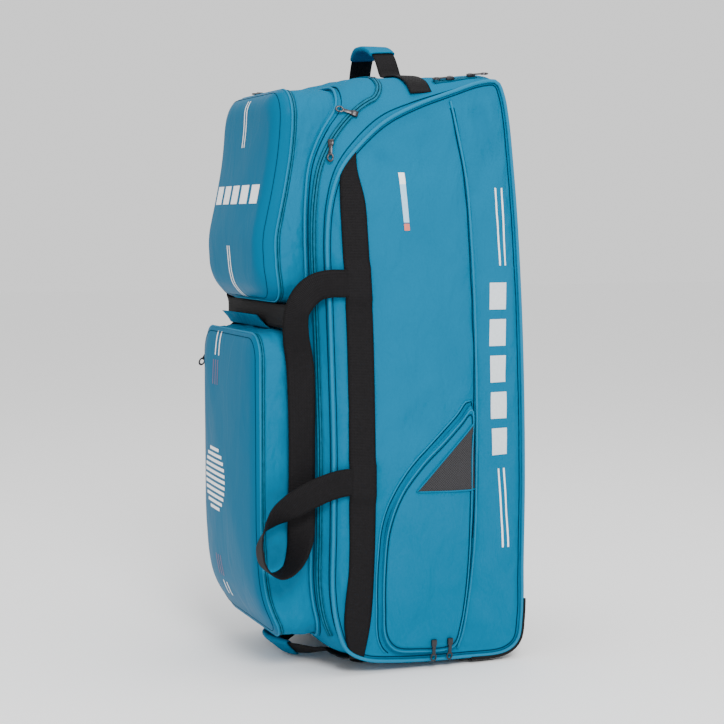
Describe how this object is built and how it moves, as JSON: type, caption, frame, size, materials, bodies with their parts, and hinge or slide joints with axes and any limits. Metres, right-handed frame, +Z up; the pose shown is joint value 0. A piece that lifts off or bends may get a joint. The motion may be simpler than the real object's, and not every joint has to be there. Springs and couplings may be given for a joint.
{
  "type": "wheeled cricket kit bag",
  "caption": "Tall wheeled kit bag standing on its wheeled end, with a padded lid, zipped pockets, long carry straps and grab handles.",
  "frame": {"origin": "centre of the overall box, on the floor", "axes": "+Z up along the bag's length, -Y out of the pocketed lid, +X to the side with the zipped side pocket"},
  "size_m": [0.3934, 0.4738, 1.0219],
  "materials": {
    "teal_cloth": "matt coated weave",
    "teal_moulded": "semi-gloss coated",
    "black_webbing": "ribbed weave",
    "zip_tape": "matt tape with fine teeth",
    "grey_mesh": "open mesh",
    "pale_label": "satin",
    "black_plastic": "fine grained",
    "wheel_rubber": "matt",
    "dark_steel": "satin",
    "dark_metal": "satin"
  },
  "bodies": {
    "bag": {"body_shell": "teal_cloth", "front_lid": "teal_cloth", "main_zip": "zip_tape", "back_zip": "zip_tape", "upper_pocket_gusset": "teal_cloth", "upper_pocket_zip": "zip_tape", "upper_pocket_face": "teal_moulded", "upper_pocket_piping": "teal_cloth", "lower_pocket_gusset": "teal_cloth", "lower_pocket_zip": "zip_tape", "lower_pocket_face": "teal_moulded", "lower_pocket_piping": "teal_cloth", "side_piping_near": "teal_cloth", "side_webbing_near": "black_webbing", "side_seam_near": "teal_cloth", "side_piping_far": "teal_cloth", "side_webbing_far": "black_webbing", "side_seam_far": "teal_cloth", "side_pocket_mesh": "grey_mesh", "side_pocket_panel": "teal_cloth", "side_label": "pale_label", "carry_handle_near": "black_webbing", "carry_handle_far": "black_webbing", "grip_wrap": "teal_cloth", "top_handle_webbing": "black_webbing", "top_handle_sleeve": "teal_cloth", "bottom_handle_webbing": "black_webbing", "bottom_handle_sleeve": "teal_cloth", "wheel_guard": "black_plastic", "wheel_axle_left": "dark_steel", "wheel_axle_right": "dark_steel", "base_foot_left": "black_plastic", "base_foot_right": "black_plastic", "back_board": "black_plastic", "main_zip_pull_lower": "dark_metal", "main_zip_pull_upper": "dark_metal", "main_zip_pull_top": "dark_metal", "back_zip_pull_front": "dark_metal", "back_zip_pull_rear": "dark_metal", "upper_pocket_pull": "dark_metal", "lower_pocket_pull_upper": "dark_metal", "lower_pocket_pull_lower": "dark_metal", "side_pocket_pull_front": "dark_metal", "side_pocket_pull_rear": "dark_metal"},
    "left_wheel": {"wheel_left": "wheel_rubber"},
    "right_wheel": {"wheel_right": "wheel_rubber"}
  },
  "joints": [
    {"name": "wheel_left_spin", "type": "hinge", "parent": "bag", "child": "left_wheel", "pos_m": [0.12624, 0.18859, 0.041], "axis": [1, 0, 0], "continuous": true},
    {"name": "wheel_right_spin", "type": "hinge", "parent": "bag", "child": "right_wheel", "pos_m": [-0.13576, 0.18859, 0.041], "axis": [1, 0, 0], "continuous": true}
  ]
}
